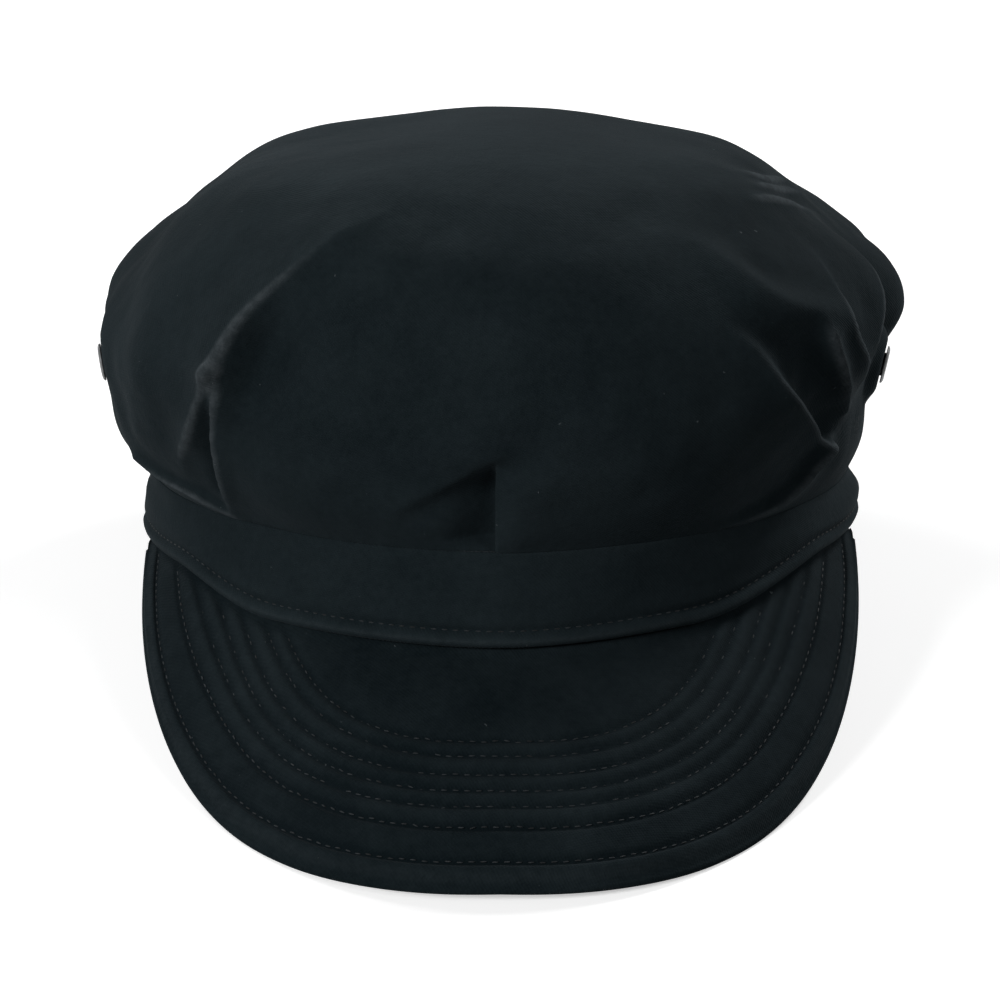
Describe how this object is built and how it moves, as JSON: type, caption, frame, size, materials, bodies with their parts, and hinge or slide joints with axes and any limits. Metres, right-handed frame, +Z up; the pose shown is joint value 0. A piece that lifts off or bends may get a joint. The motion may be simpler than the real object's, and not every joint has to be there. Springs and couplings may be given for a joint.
{
  "type": "utility cap",
  "caption": "Soft slouching utility cap: pleated cloth crown on a headband, row-stitched curved visor and metal side vents, standing on visor edge and band.",
  "frame": {"origin": "centre of the bounding box in plan, on the surface the cap stands on", "axes": "+Z up, -Y towards the visor's tip, +X to the right as seen from the front"},
  "size_m": [0.2004, 0.2718, 0.1285],
  "materials": {
    "crown_cloth": "matte cotton twill",
    "band_cloth": "matte cotton twill",
    "visor_cloth": "matte cotton twill, stitched in rows",
    "eyelet_metal": "nickel plated, satin"
  },
  "bodies": {
    "root": {"crown": "crown_cloth", "band": "band_cloth", "visor": "visor_cloth", "eyelet_left": "eyelet_metal", "eyelet_right": "eyelet_metal"}
  },
  "joints": []
}
